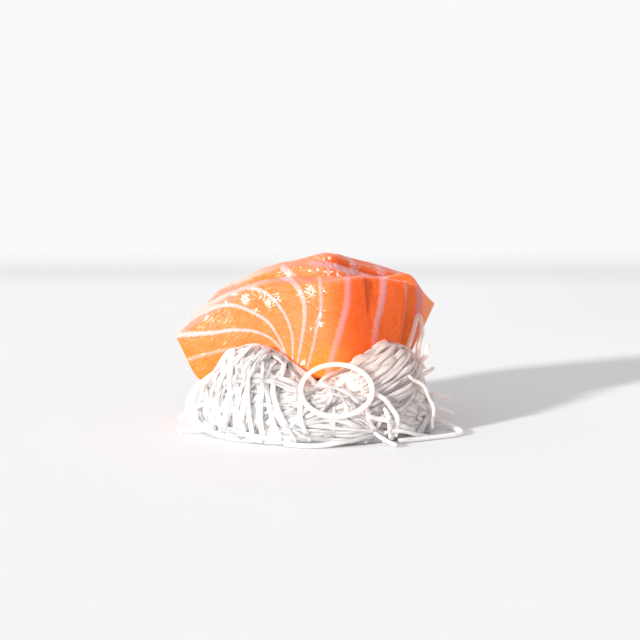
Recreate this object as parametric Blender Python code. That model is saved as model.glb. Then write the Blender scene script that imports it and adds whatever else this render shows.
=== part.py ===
"""Salmon sashimi: three thick slices leaning on a loose mound of shredded white radish.

Lengths are in millimetres and turned into metres where a mesh is made.
X runs to the right along the slices, Y away from their cut faces, Z up.
"""
import math
import random

import bpy
import numpy as np

MM = 0.001

# The slices follow one bent line on the plan. S runs along it from the left tip.
BEND_S = (-10, 0, 30, 45, 60, 72, 84, 110)
BEND_DEG = (-26, -24, -13, 0, 34, 34, 25, 20)
LEFT_X = -42.6
FRONT_Y = -21.0
LEAN_DEG = 12.0
# The stack fans out round its bend, eased over this reach, and each slice bows towards the front.
FAN_REACH = 14.0
BOW = 1.2
BOW_LOW_W = 14.0
BOW_HIGH_W = 48.0
THICKNESS = 8.0
SPACING = 8.4
EDGE_RADIUS = 1.3

# Edges of each cut face as (along, up the lean) points: its top edge in front and behind, and its foot.
SLICE_FRONT = {
    "name": "slice_front", "row": 0,
    "top": ((-0.3, 26.4), (6.6, 32.8), (17.5, 39.7), (29.0, 43.2), (46.0, 43.5), (60.0, 44.8), (76.3, 42.2)),
    "top_back": ((-1.9, 28.3), (3.6, 34.3), (15.6, 41.4), (27.0, 45.2), (44.6, 46.4), (60.0, 45.6), (76.6, 42.7)),
    "foot": ((5.0, 17.8), (6.9, 15.3), (17.6, 14.8), (38.5, 15.8), (54.0, 17.6), (71.0, 20.0)),
}
SLICE_SECOND = {
    "name": "slice_second", "row": 1,
    "top": ((6.4, 36.2), (10.6, 40.6), (18.1, 43.6), (28.0, 47.4), (37.5, 48.7), (52.0, 47.2), (70.7, 43.8), (78.5, 45.2), (84.4, 37.8), (86.6, 35.4)),
    "top_back": ((6.0, 38.4), (10.4, 42.8), (17.0, 46.0), (27.0, 50.0), (36.0, 51.9), (59.7, 49.4), (73.0, 45.4), (79.8, 45.2), (85.4, 38.8), (87.4, 36.0)),
    "foot": ((15.0, 17.0), (34.0, 16.6), (56.0, 18.0), (78.4, 21.4)),
}
SLICE_THIRD = {
    "name": "slice_third", "row": 2,
    "top": ((21.0, 42.4), (29.0, 48.4), (38.5, 51.9), (54.0, 52.4), (66.9, 48.8), (80.5, 44.6)),
    "top_back": ((21.0, 43.4), (30.0, 49.8), (40.5, 53.4), (57.0, 54.2), (67.9, 51.8), (82.0, 46.6)),
    "foot": ((25.0, 18.0), (45.0, 17.2), (60.0, 18.0), (77.0, 21.4)),
}
SLICES = (SLICE_FRONT, SLICE_SECOND, SLICE_THIRD)

# A flake has split from the front slice at its bend, so the face steps back there near the top.
SPLIT_S = 61.0
SPLIT_STEP = 0.9
SPLIT_LOW_W = 33.0
SPLIT_TOP_W = 44.0

# Mound of shredded radish.
MOUND_X = 0.0
MOUND_Y = -2.5
MOUND_RADIUS_X = 36.0
MOUND_RADIUS_Y = 31.5
MOUND_HEIGHT = 26.0
MOUND_POWER = 0.6
# Humps and dips round the mound: direction in degrees, height change, half width in degrees.
MOUND_WAVES = ((264.0, -9.0, 24.0), (300.0, -4.0, 22.0), (213.0, 5.0, 16.0), (0.0, 2.5, 30.0), (90.0, -2.0, 50.0))
# The mound is narrower at its right: direction in degrees, share, half width in degrees.
MOUND_DIP = (8.0, 0.12, 26.0)
# Height up the lean that the shreds reach in front of the face, by distance along it.
BANK_S = (6.0, 12.0, 17.0, 23.0, 29.0, 34.0, 39.0, 43.0, 50.0, 60.0, 68.0, 80.0)
BANK_W = (14.0, 18.5, 23.6, 25.3, 25.2, 22.5, 18.6, 16.4, 18.8, 23.4, 25.6, 23.4)
CORE_SHRINK = 0.95
CORE_ROUND = 26
CORE_RINGS = 6
SHRED = 1.6
SHRED_GAP = 0.4
SHRED_COUNT = 38
FLOOR_GAP = 0.15
SEED = 21

# Middle of the whole arrangement's box, moved to the origin.
CENTRE_X = -0.537
CENTRE_Y = -4.506


def eased(x, at, value):
    """Value that eases from knot to knot."""
    at = np.asarray(at, float)
    value = np.asarray(value, float)
    i = np.clip(np.searchsorted(at, x) - 1, 0, len(at) - 2)
    t = np.clip((x - at[i]) / (at[i + 1] - at[i]), 0, 1)
    t = t * t * (3 - 2 * t)
    return value[i] + (value[i + 1] - value[i]) * t


def bend_line():
    """Plan of the bent line: s, x, y and the turn of the direction in which the slices stack."""
    s = np.linspace(BEND_S[0], BEND_S[-1], 961)
    heading = np.radians(eased(s, BEND_S, BEND_DEG))
    step = s[1] - s[0]
    x = np.concatenate([[0], np.cumsum(np.cos(heading[1:]) + np.cos(heading[:-1])) * step / 2])
    y = np.concatenate([[0], np.cumsum(np.sin(heading[1:]) + np.sin(heading[:-1])) * step / 2])
    reach = round(FAN_REACH / step)
    window = np.hanning(2 * reach + 1)
    padded = np.concatenate([np.full(reach, heading[0]), heading, np.full(reach, heading[-1])])
    turn = np.convolve(padded, window / window.sum(), mode="valid") / 2
    return s, x + LEFT_X - np.interp(0, s, x), y + FRONT_Y - y.min(), turn


LINE_S, LINE_X, LINE_Y, LINE_TURN = bend_line()


def place(s, w, n):
    """Point at s along the line, w up the lean and n behind the front face."""
    turn = np.interp(s, LINE_S, LINE_TURN)
    lean = math.radians(LEAN_DEG)
    n = n - BOW * np.sin(np.pi * np.clip((w - BOW_LOW_W) / (BOW_HIGH_W - BOW_LOW_W), 0, 1))
    back = w * math.sin(lean) + n * math.cos(lean)
    x = np.interp(s, LINE_S, LINE_X) - np.sin(turn) * back
    y = np.interp(s, LINE_S, LINE_Y) + np.cos(turn) * back
    z = w * math.cos(lean) - n * math.sin(lean)
    return np.stack(np.broadcast_arrays(x, y, z), -1)


def unplace(p):
    """The s, w and n of a point."""
    s = np.interp(p[..., 0], LINE_X, LINE_S)
    for _ in range(8):
        turn = np.interp(s, LINE_S, LINE_TURN)
        back = (p[..., 1] - np.interp(s, LINE_S, LINE_Y)) / np.cos(turn)
        s = np.interp(p[..., 0] + np.sin(turn) * back, LINE_X, LINE_S)
    lean = math.radians(LEAN_DEG)
    w = back * math.sin(lean) + p[..., 2] * math.cos(lean)
    n = back * math.cos(lean) - p[..., 2] * math.sin(lean)
    return s, w, n + BOW * np.sin(np.pi * np.clip((w - BOW_LOW_W) / (BOW_HIGH_W - BOW_LOW_W), 0, 1))


def banked(pts, below):
    """Points lowered to the bank of shreds where they are at the face or behind it."""
    s, w, n = unplace(np.asarray(pts, float))
    limit = np.interp(s, BANK_S, BANK_W) - below + np.clip(-n - 1.0, 0, 30) * 0.25
    over = (n > -9) & (n < 12) & (s > BANK_S[0]) & (s < BANK_S[-1])
    w = np.where(over, np.minimum(w, limit), w)
    return place(s, w, n)


def curve(points, t):
    """Smooth curve through the points, t from 0 to 1."""
    pts = np.array(points, float)
    gap = np.linalg.norm(np.diff(pts, axis=0), axis=1)
    at = np.concatenate([[0], np.cumsum(gap)]) / gap.sum()
    slope = np.gradient(pts, at, axis=0)
    i = np.clip(np.searchsorted(at, t, side="right") - 1, 0, len(pts) - 2)
    width = (at[i + 1] - at[i])[..., None]
    f = (t[..., None] - at[i][..., None]) / width
    start = pts[i] * (1 + 2 * f) * (1 - f) ** 2 + slope[i] * width * f * (1 - f) ** 2
    end = pts[i + 1] * f * f * (3 - 2 * f) + slope[i + 1] * width * f * f * (f - 1)
    return start + end


def slab_points(spec, u, v, inset, depth, grow=0.0):
    """Points of a slice: u along, v up, inset from its outline and depth behind its face."""
    u = inset / 75 + u * (1 - inset / 37.5)
    share = depth / THICKNESS
    foot = curve(spec["foot"], u)
    top = curve(spec["top"], u) * (1 - share) + curve(spec["top_back"], u) * share
    up = top - foot
    tall = np.linalg.norm(up, axis=-1, keepdims=True)
    middle = foot + up * (inset + v[..., None] * (tall - 2 * inset)) / tall
    s = middle[..., 0]
    w = middle[..., 1]
    n = spec["row"] * SPACING - grow + depth * (1 + 2 * grow / THICKNESS)
    if spec["row"] == 0:
        high = np.clip((w - SPLIT_LOW_W) / (SPLIT_TOP_W - SPLIT_LOW_W), 0, 1)
        past = np.clip((s - SPLIT_S + 0.8) / 0.8, 0, 1) * np.clip((SPLIT_S + 11 - s) / 11, 0, 1)
        n = n + SPLIT_STEP * high * past * (1 - share)
    return place(s, w, n)


def slab(spec, across, tall, corner, grow=0.0):
    """Closed mesh of one slice: face, back and a rounded rim between them."""
    us = np.linspace(0, 1, across + 1)
    vs = np.linspace(0, 1, tall + 1)
    rim = [(i, 0) for i in range(across + 1)]
    rim += [(across, j) for j in range(1, tall + 1)]
    rim += [(i, tall) for i in range(across - 1, -1, -1)]
    rim += [(0, j) for j in range(tall - 1, 0, -1)]
    grid_u, grid_v = np.meshgrid(us, vs, indexing="ij")
    rim_u = np.array([us[i] for i, j in rim])
    rim_v = np.array([vs[j] for i, j in rim])

    def layer(u, v, angle, far):
        inset = EDGE_RADIUS * (1 - math.sin(angle)) - grow
        depth = EDGE_RADIUS * (1 - math.cos(angle))
        return slab_points(spec, u, v, inset, THICKNESS - depth if far else depth, grow)

    steps = [math.pi / 2 * k / corner for k in range(corner + 1)]
    blocks = [layer(grid_u, grid_v, 0.0, False).reshape(-1, 3)]
    for angle in steps[1:]:
        blocks.append(layer(rim_u, rim_v, angle, False))
    for angle in reversed(steps[1:]):
        blocks.append(layer(rim_u, rim_v, angle, True))
    blocks.append(layer(grid_u, grid_v, 0.0, True).reshape(-1, 3))
    verts = np.concatenate(blocks)

    wide = tall + 1
    face_count = (across + 1) * wide
    last = len(verts) - face_count
    loops = [[i * wide + j for i, j in rim]]
    for k in range(2 * corner):
        loops.append([face_count + k * len(rim) + m for m in range(len(rim))])
    loops.append([last + i * wide + j for i, j in rim])
    faces = []
    for i in range(across):
        for j in range(tall):
            a, b, c, d = i * wide + j, (i + 1) * wide + j, (i + 1) * wide + j + 1, i * wide + j + 1
            faces.append((a, b, c, d))
            faces.append((last + a, last + d, last + c, last + b))
    for near, far in zip(loops, loops[1:]):
        for m in range(len(rim)):
            q = (m + 1) % len(rim)
            faces.append((near[q], near[m], far[m], far[q]))
    return verts, faces


def mound_point(direction, rise, scale=1.0):
    """Point on the mound's skin: direction in degrees, rise from 0 at the floor to 1 on top."""
    tall = MOUND_HEIGHT
    for middle, change, half in MOUND_WAVES:
        away = (direction - middle + 180) % 360 - 180
        tall += change * math.exp(-(away / half) ** 2)
    phi = rise * math.pi / 2
    out = math.cos(phi) ** MOUND_POWER if rise < 1 else 0.0
    middle, share, half = MOUND_DIP
    away = (direction - middle + 180) % 360 - 180
    out *= 1 - share * math.exp(-(away / half) ** 2)
    a = math.radians(direction)
    x = MOUND_X + MOUND_RADIUS_X * scale * out * math.cos(a)
    y = MOUND_Y + MOUND_RADIUS_Y * scale * out * math.sin(a)
    return np.array((x, y, tall * scale * math.sin(phi)))


def core():
    """Closed lump inside the mound."""
    rises = [0.88 * k / (CORE_RINGS - 1) for k in range(CORE_RINGS)]
    rings = [[mound_point(360 * m / CORE_ROUND, r, CORE_SHRINK) for m in range(CORE_ROUND)] for r in rises]
    verts = [p for ring in rings for p in ring]
    verts.append(mound_point(0, 1.0, CORE_SHRINK))
    verts = banked(verts, 1.2)
    verts[:CORE_ROUND, 2] = 0.0
    faces = [tuple(range(CORE_ROUND - 1, -1, -1))]
    for k in range(CORE_RINGS - 1):
        for m in range(CORE_ROUND):
            q = (m + 1) % CORE_ROUND
            faces.append((k * CORE_ROUND + m, k * CORE_ROUND + q, (k + 1) * CORE_ROUND + q, (k + 1) * CORE_ROUND + m))
    first = (CORE_RINGS - 1) * CORE_ROUND
    for m in range(CORE_ROUND):
        faces.append((first + m, first + (m + 1) % CORE_ROUND, len(verts) - 1))
    return verts, faces


def strand(points, closed=False, width=SHRED, thick=SHRED):
    """Closed mesh of a square shred along the points."""
    pts = np.array(points, float)
    count = len(pts)
    verts = []
    side = None
    for k in range(count):
        if closed:
            along = pts[(k + 1) % count] - pts[k - 1]
        else:
            along = pts[min(k + 1, count - 1)] - pts[max(k - 1, 0)]
        along = along / np.linalg.norm(along)
        if side is None:
            side = np.cross(along, (0, 0, 1.0) if abs(along[2]) < 0.8 else (0, 1.0, 0))
        side = side - along * np.dot(side, along)
        side = side / np.linalg.norm(side)
        up = np.cross(side, along)
        for a, b in ((1, 1), (-1, 1), (-1, -1), (1, -1)):
            corner = pts[k] + side * a * width / 2 + up * b * thick / 2
            corner[2] = max(corner[2], FLOOR_GAP)
            verts.append(corner)
    faces = []
    for k in range(count if closed else count - 1):
        here, there = 4 * k, 4 * ((k + 1) % count)
        for m in range(4):
            q = (m + 1) % 4
            faces.append((here + m, there + m, there + q, here + q))
    if not closed:
        faces.append((0, 1, 2, 3))
        faces.append(tuple(4 * (count - 1) + m for m in (3, 2, 1, 0)))
    return np.array(verts), faces


def draped(rng, direction, rise):
    """Points of one shred that lies on the mound's skin, steepest at its left and right."""
    length = rng.uniform(22, 40)
    heading = 90 + 50 * math.cos(math.radians(direction)) + rng.uniform(-55, 55)
    curl = rng.uniform(-3.0, 3.0)
    count = 7
    pts = []
    for k in range(count):
        rise = min(max(rise, 0.04), 0.84)
        here = mound_point(direction, rise)
        east = mound_point(direction + 1, rise) - here
        north = mound_point(direction, rise + 0.01) - here
        skin = np.cross(east, north)
        skin = skin / np.linalg.norm(skin)
        lift = 0.55 * math.sin(k * 1.1 + heading) - 0.5
        pts.append(here + skin * lift)
        step = length / (count - 1)
        direction += math.cos(math.radians(heading)) * step / np.linalg.norm(east)
        rise += math.sin(math.radians(heading)) * step / np.linalg.norm(north) * 0.01
        heading += curl * step
    pts = banked(pts, rng.uniform(0.4, 1.3))
    pts[:, 2] = np.maximum(pts[:, 2], SHRED / 2 + rng.uniform(1.0, 3.0) * FLOOR_GAP)
    return pts


def hung(share, rng):
    """Points of a shred that hangs from the left bank at the face to the mound's foot."""
    s = 8.0 + 26.0 * share
    top = place(s, np.interp(s, BANK_S, BANK_W) - rng.uniform(0.6, 1.4), -SHRED / 2 - SHRED_GAP)
    direction = 203 + 44 * share
    points = [top]
    for rise in (0.46, 0.30, 0.14):
        out = mound_point(direction + rng.uniform(-2, 2), rise, 1.0 + rng.uniform(0.0, 0.02))
        points.append(out)
    return curve(points, np.linspace(0, 1, 7))


# Bundle of shreds at the right: two guides as (direction, rise) points on the mound.
BUNDLE_TOP = ((297, 0.70), (301, 0.78), (317, 0.78), (329, 0.76), (339, 0.72))
BUNDLE_FOOT = ((294, 0.36), (300, 0.38), (313, 0.41), (326, 0.43), (343, 0.47))
BUNDLE_COUNT = 7
HUNG_COUNT = 7


def bundled(share):
    """Points of a shred of the right bundle."""
    t = np.linspace(0, 1, 7)
    line = curve(BUNDLE_TOP, t) * (1 - share) + curve(BUNDLE_FOOT, t) * share
    pts = [mound_point(direction, rise, 1.0 + 0.012 * math.sin(9 * share)) for direction, rise in line]
    return banked(pts, 0.9 + 0.4 * math.sin(7 * share))


def ring_points():
    """Loop of shred that leans on the front of the mound."""
    centre = np.array((4.6, -28.0, 14.7))
    tilt = math.radians(40)
    pts = []
    for k in range(22):
        a = 2 * math.pi * k / 22
        high = 8.3 * math.sin(a)
        pts.append(centre + (10.0 * math.cos(a), high * math.sin(tilt), high * math.cos(tilt)))
    return pts


# Single shreds that stand out from the mound, each as a few points for a smooth curve.
LOOSE = (
    ((-40.5, -16.0, 0.8), (-34.0, -17.5, 0.9), (-27.0, -19.0, 2.4), (-20.0, -24.0, 4.0)),
    ((-10.0, -34.5, 0.9), (-2.0, -36.8, 0.8), (6.0, -35.0, 1.4), (16.0, -31.0, 3.0)),
    ((22.0, -30.5, 0.9), (31.0, -26.0, 0.8), (40.0, -19.5, 0.8), (37.0, -12.0, 1.4), (31.0, -8.0, 3.0)),
    ((19.8, -31.0, 1.2), (19.6, -30.2, 4.5), (18.7, -28.4, 8.4), (15.4, -25.0, 12.0)),
    ((12.5, -30.0, 6.0), (17.5, -33.4, 2.0), (21.0, -36.4, 0.9)),
    ((27.5, -9.0, 2.0), (31.5, -12.0, 7.0), (29.5, -10.0, 13.0), (27.0, -8.0, 17.0)),
    ((23.0, -7.0, 17.5), (26.2, -2.5, 24.0), (29.2, 4.0, 30.6), (29.9, 2.0, 27.0), (28.7, -1.5, 22.5), (28.6, -6.5, 13.5)),
    ((27.5, -5.0, 13.0), (28.8, -5.0, 18.4), (30.8, -4.6, 20.6), (31.4, -4.0, 24.0)),
    ((26.0, -6.0, 9.0), (33.5, -7.0, 9.3), (37.5, -7.0, 8.0)),
    ((25.5, -8.0, 12.5), (30.0, -6.5, 15.2), (33.0, -5.5, 16.9)),
)


def remove(thing):
    mesh = thing.data
    bpy.data.objects.remove(thing)
    if mesh is not None and mesh.users == 0:
        bpy.data.meshes.remove(mesh)


def add(name, verts, faces, material=None, group=None):
    """Object in metres from points in millimetres."""
    mesh = bpy.data.meshes.new(name)
    moved = (np.asarray(verts, float) - (CENTRE_X, CENTRE_Y, 0.0)) * MM
    mesh.from_pydata(moved.tolist(), [], faces)
    mesh.validate()
    thing = bpy.data.objects.new(name, mesh)
    (group or bpy.context.scene.collection).objects.link(thing)
    if material is not None:
        mesh.materials.append(material)
    return thing


def principled(name, color, roughness):
    material = bpy.data.materials.new(name)
    material.use_nodes = True
    shader = material.node_tree.nodes["Principled BSDF"]
    shader.inputs["Base Color"].default_value = (*color, 1.0)
    shader.inputs["Roughness"].default_value = roughness
    shader.inputs["Metallic"].default_value = 0.0
    return material


def boolean(thing, operation, group=None, solver="MANIFOLD"):
    """Run one Boolean on the object and keep its result."""
    cut = thing.modifiers.new("cut", "BOOLEAN")
    cut.operation = operation
    cut.operand_type = "COLLECTION"
    cut.collection = group
    cut.solver = solver
    depsgraph = bpy.context.evaluated_depsgraph_get()
    result = bpy.data.meshes.new_from_object(thing.evaluated_get(depsgraph))
    thing.modifiers.clear()
    old = thing.data
    thing.data = result
    bpy.data.meshes.remove(old)


def keep_largest(thing):
    """Drop loose scrap: only the shell with the most faces stays."""
    mesh = thing.data
    parent = list(range(len(mesh.vertices)))

    def root(k):
        while parent[k] != k:
            parent[k] = parent[parent[k]]
            k = parent[k]
        return k

    for edge in mesh.edges:
        a, b = root(edge.vertices[0]), root(edge.vertices[1])
        if a != b:
            parent[a] = b
    sizes = {}
    for face in mesh.polygons:
        group = root(face.vertices[0])
        sizes[group] = sizes.get(group, 0) + 1
    best = max(sizes, key=sizes.get)
    faces = [tuple(f.vertices) for f in mesh.polygons if root(f.vertices[0]) == best]
    used = sorted({k for face in faces for k in face})
    number = {k: i for i, k in enumerate(used)}
    verts = [tuple(mesh.vertices[k].co) for k in used]
    kept = bpy.data.meshes.new(mesh.name)
    kept.from_pydata(verts, [], [tuple(number[k] for k in face) for face in faces])
    for material in mesh.materials:
        kept.materials.append(material)
    thing.data = kept
    bpy.data.meshes.remove(mesh)


def build_mound(material):
    """Core with shreds fused on and the slices' places cut out."""
    rng = random.Random(SEED)
    mound = add("radish_mound", *core(), material)
    shreds = bpy.data.collections.new("shreds")
    bpy.context.scene.collection.children.link(shreds)
    add("ring", *strand(ring_points(), closed=True), material, shreds)
    for k, points in enumerate(LOOSE):
        pts = curve(points, np.linspace(0, 1, 3 * len(points) - 1))
        add(f"loose_{k}", *strand(pts), material, shreds)
    for k in range(HUNG_COUNT):
        add(f"hung_{k}", *strand(hung((k + 0.5) / HUNG_COUNT, rng)), material, shreds)
    for k in range(BUNDLE_COUNT):
        add(f"bundled_{k}", *strand(bundled((k + 0.5) / BUNDLE_COUNT)), material, shreds)
    for k in range(SHRED_COUNT):
        direction = 360 * ((k * 0.618034) % 1.0)
        rise = 0.05 + 0.5 * ((k * 0.754878) % 1.0)
        add(f"draped_{k}", *strand(draped(rng, direction, rise)), material, shreds)
    boolean(mound, "UNION", shreds)
    for thing in list(shreds.objects):
        remove(thing)

    places = shreds
    for spec in SLICES:
        add("place_" + spec["name"], *slab(spec, 18, 5, 2, grow=SHRED_GAP), None, places)
    boolean(mound, "DIFFERENCE", places)
    for thing in list(places.objects):
        remove(thing)
    bpy.data.collections.remove(places)
    keep_largest(mound)
    return mound


def main():
    for thing in list(bpy.data.objects):
        bpy.data.objects.remove(thing)
    salmon = principled("salmon_flesh", (0.95, 0.27, 0.06), 0.32)
    radish = principled("radish", (0.90, 0.87, 0.84), 0.35)
    for spec in SLICES:
        add(spec["name"], *slab(spec, 24, 6, 2), salmon)
    build_mound(radish)


main()
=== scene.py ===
import math
import random
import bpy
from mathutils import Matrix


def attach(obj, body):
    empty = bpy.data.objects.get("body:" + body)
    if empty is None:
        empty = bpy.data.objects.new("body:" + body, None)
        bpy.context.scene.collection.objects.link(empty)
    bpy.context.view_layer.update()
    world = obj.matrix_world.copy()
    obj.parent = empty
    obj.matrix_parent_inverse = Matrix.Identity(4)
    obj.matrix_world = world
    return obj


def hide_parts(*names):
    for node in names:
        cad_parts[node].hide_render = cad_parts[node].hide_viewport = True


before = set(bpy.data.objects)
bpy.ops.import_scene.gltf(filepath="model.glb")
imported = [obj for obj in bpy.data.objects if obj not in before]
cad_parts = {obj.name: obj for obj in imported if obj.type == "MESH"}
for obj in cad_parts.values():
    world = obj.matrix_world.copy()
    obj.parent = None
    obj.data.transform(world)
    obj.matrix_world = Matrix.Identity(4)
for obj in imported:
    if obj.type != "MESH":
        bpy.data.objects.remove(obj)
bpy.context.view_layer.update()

from types import SimpleNamespace

import bpy
import numpy as np
from mathutils import Vector

# Lengths are in millimetres and turned into metres where a mesh is made.
MM = 0.001
CENTRE = np.array((-0.537, -4.506, 0.0))

# The slices follow one bent line on the plan. S runs along it from the left tip.
BEND_S = (-10, 0, 30, 45, 60, 72, 84, 110)
BEND_DEG = (-26, -24, -13, 0, 34, 34, 25, 20)
LEFT_X = -42.6
FRONT_Y = -21.0
LEAN = math.radians(12.0)
FAN_REACH = 14.0
BOW = 1.2
BOW_LOW_W = 14.0
BOW_HIGH_W = 48.0
THICKNESS = 8.0
SLICE_LONG = 75.0
SPACING = 8.4
EDGE_RADIUS = 1.3

SLICE_FRONT = {
    "name": "slice_front", "row": 0, "shift": 0, "bare": (),
    "top": ((-0.3, 26.4), (6.6, 32.8), (17.5, 39.7), (29, 43.2), (46, 43.5), (60, 44.8), (76.3, 42.2)),
    "top_back": ((-1.9, 28.3), (3.6, 34.3), (15.6, 41.4), (27, 45.2), (44.6, 46.4), (60, 45.6), (76.6, 42.7)),
    "foot": ((5, 17.8), (6.9, 15.3), (17.6, 14.8), (38.5, 15.8), (54, 17.6), (71, 20)),
}
SLICE_SECOND = {
    "name": "slice_second", "row": 1, "shift": 3.6, "bare": (),
    "top": ((6.4, 36.2), (10.6, 40.6), (18.1, 43.6), (28, 47.4), (37.5, 48.7), (52, 47.2), (70.7, 43.8),
            (78.5, 45.2), (84.4, 37.8), (86.6, 35.4)),
    "top_back": ((6, 38.4), (10.4, 42.8), (17, 46), (27, 50), (36, 51.9), (59.7, 49.4), (73, 45.4),
                 (79.8, 45.2), (85.4, 38.8), (87.4, 36)),
    "foot": ((15, 17), (34, 16.6), (56, 18), (78.4, 21.4)),
}
SLICE_THIRD = {
    "name": "slice_third", "row": 2, "shift": 7.9, "bare": (4, 5, 6, 7),
    "top": ((21, 42.4), (29, 48.4), (38.5, 51.9), (54, 52.4), (66.9, 48.8), (80.5, 44.6)),
    "top_back": ((21, 43.4), (30, 49.8), (40.5, 53.4), (57, 54.2), (67.9, 51.8), (82, 46.6)),
    "foot": ((25, 18), (45, 17.2), (60, 18), (77, 21.4)),
}
SLICES = (SLICE_FRONT, SLICE_SECOND, SLICE_THIRD)
SLICES_DEEP = 2 * SPACING + THICKNESS

SPLIT_S = 61.0
SPLIT_STEP = 0.9
SPLIT_LOW_W = 33.0
SPLIT_TOP_W = 44.0

# Drops of the wet film on each slice: along, up and radius. Each also carries a painted white glint.
WET_SPOTS = (
    ((18.3, 40.3, 1.2), (21.5, 38.6, 1.5), (24.4, 40.9, 1.3), (27.2, 40, 1.7), (28.8, 37.9, 1.5),
     (25.2, 35, 1), (31.4, 39.4, 1.3), (41.4, 41.2, 1.9), (38.4, 40.6, 0.9), (45.4, 41.5, 0.9),
     (44.6, 34.6, 1.1), (44.3, 31.6, 1.2), (42.2, 30.2, 0.9), (39.4, 21, 1), (15.5, 37.2, 0.8)),
    ((30.5, 46.4, 0.9), (33.6, 47, 1), (37.6, 48.2, 0.7), (40.6, 48.3, 0.7), (43.4, 48.1, 0.8),
     (46.2, 47, 0.9), (49.6, 46.9, 1.1), (51.8, 46.4, 1.2), (55, 45.9, 0.7)),
    ((43.6, 51.8, 1), (46.2, 51.4, 1.1), (50, 51.9, 0.8), (62.8, 49.9, 1.2), (64.6, 48.6, 1.2),
     (72.2, 46.9, 1), (73.7, 46, 1)),
)
# A drop mirrors the light where its face is turned and raised by these degrees.
MIRROR_TURN = 25.0
MIRROR_RISE = 16.0
STEEPEST_DROP = 48
DROP_SPREAD = 1.2

# Lines of fat on a cut face: width at the outer end and at the inner end, softness, strength and
# points (along, up) from the outer end to where the lines meet. The other slices have them shifted.
FAT_LINES = (
    (1, 0.7, 0.2, 0.5, ((-3.5, 17.4), (2.9, 19.6), (9.6, 21.8), (17.1, 23.7), (26, 23.6), (33, 20))),
    (1.7, 0.3, 0.12, 1, ((-4, 26.4), (0.3, 26.9), (11.3, 28.2), (19.7, 29.5), (25.2, 29.2), (29.5, 27.6),
                         (33.1, 24.3), (35.8, 19))),
    (1.7, 0.3, 0.12, 1, ((1, 31), (5.9, 33.1), (13.5, 36.1), (17.3, 36.6), (23.8, 34.8), (28.8, 32.1),
                         (32.5, 27.1), (36, 18.6))),
    (1.8, 0.35, 0.12, 1, ((1, 33.9), (8, 37.4), (14, 40.4), (21.7, 41.7), (26.6, 41), (30.4, 38.5),
                          (34.2, 33.8), (35.9, 29.5), (36.2, 18.5))),
    (2.1, 0.4, 0.14, 0.95, ((28, 48.5), (32.6, 45.5), (35.4, 44.4), (37.9, 41.8), (39.6, 37.8),
                            (39.8, 33.6), (39, 27.3), (37.2, 18))),
    (1.3, 0.5, 0.16, 0.9, ((44.2, 52), (44.6, 43), (44.8, 36.4), (43.5, 30.7), (42, 23.9), (39.6, 16))),
    (2.1, 1.2, 0.55, 0.8, ((54.4, 52), (54, 43.1), (53.3, 37.7), (51.3, 31.8), (48.3, 22.8), (46.4, 15))),
    (2.3, 1.4, 0.45, 1, ((68, 52), (67.4, 42.5), (66.2, 37.3), (63.9, 31.5), (61.4, 20))),
)
# Lines that one slice has for itself.
END_LINES = {
    "slice_front": ((0.7, 0.5, 0.12, 0.8, ((75.6, 50), (74.9, 41), (74.7, 36), (72.9, 28.5), (71.2, 18))),),
    "slice_second": ((1.9, 1.2, 0.4, 1, ((78.4, 50), (78.2, 41), (78, 36), (76.5, 28.5), (74, 18))),),
    "slice_third": (
        (2.1, 0.4, 0.14, 0.9, ((25, 52.5), (31, 49), (35.4, 45.4), (38.4, 41.8), (39.8, 37.8), (39.8, 33.6),
                               (39, 27.3), (37.2, 18))),
        (2.8, 1.2, 0.4, 1, ((56.4, 56), (55, 48), (53.5, 40), (49, 18))),
        (2.2, 1.2, 0.4, 1, ((66.6, 56), (65.3, 46), (64, 36), (60, 18))),
        (1.9, 1.2, 0.3, 1, ((72.2, 56), (71.6, 45), (71, 36), (66, 18))),
    ),
}

# Mound of shredded radish.
MOUND_X = 0.0
MOUND_Y = -2.5
MOUND_RADIUS_X = 36.0
MOUND_RADIUS_Y = 31.5
MOUND_HEIGHT = 26.0
MOUND_POWER = 0.6
MOUND_WAVES = ((264, -9, 24), (300, -4, 22), (213, 5, 16), (0, 2.5, 30), (90, -2, 50))
# The mound is narrower at its right: direction in degrees, share, half width in degrees.
MOUND_DIP = (8.0, 0.12, 26.0)
# Height up the lean that the shreds reach in front of the face, by distance along it.
BANK_S = (6, 12, 17, 23, 29, 34, 39, 43, 50, 60, 67, 73, 80)
BANK_W = (13, 16.8, 23.6, 25.3, 25.2, 22.5, 18.6, 16.4, 18.8, 23.4, 25.4, 23.6, 20)
CORE_SIZE = 0.98
SHRED = 1.5
DRAPED_COUNT = 440
# Air between the shreds and the slices, height of a shred's middle on the floor, and how many points
# the shortest shred has.
CLEARANCE = 0.5
REST = 0.8
SHORTEST = 5
SEED = 11


# Shape of the slices.


def eased(x, at, value):
    """Value that eases from knot to knot."""
    at = np.asarray(at, float)
    value = np.asarray(value, float)
    i = np.clip(np.searchsorted(at, x) - 1, 0, len(at) - 2)
    t = np.clip((x - at[i]) / (at[i + 1] - at[i]), 0, 1)
    t = t * t * (3 - 2 * t)
    return value[i] + (value[i + 1] - value[i]) * t


def bend_line():
    """Plan of the bent line: s, x, y and the turn of the direction in which the slices stack."""
    s = np.linspace(BEND_S[0], BEND_S[-1], 961)
    heading = np.radians(eased(s, BEND_S, BEND_DEG))
    step = s[1] - s[0]
    x = np.concatenate([[0], np.cumsum(np.cos(heading[1:]) + np.cos(heading[:-1])) * step / 2])
    y = np.concatenate([[0], np.cumsum(np.sin(heading[1:]) + np.sin(heading[:-1])) * step / 2])
    reach = round(FAN_REACH / step)
    window = np.hanning(2 * reach + 1)
    padded = np.concatenate([np.full(reach, heading[0]), heading, np.full(reach, heading[-1])])
    turn = np.convolve(padded, window / window.sum(), mode="valid") / 2
    return s, x + LEFT_X - np.interp(0, s, x), y + FRONT_Y - y.min(), turn


LINE_S, LINE_X, LINE_Y, LINE_TURN = bend_line()


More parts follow.
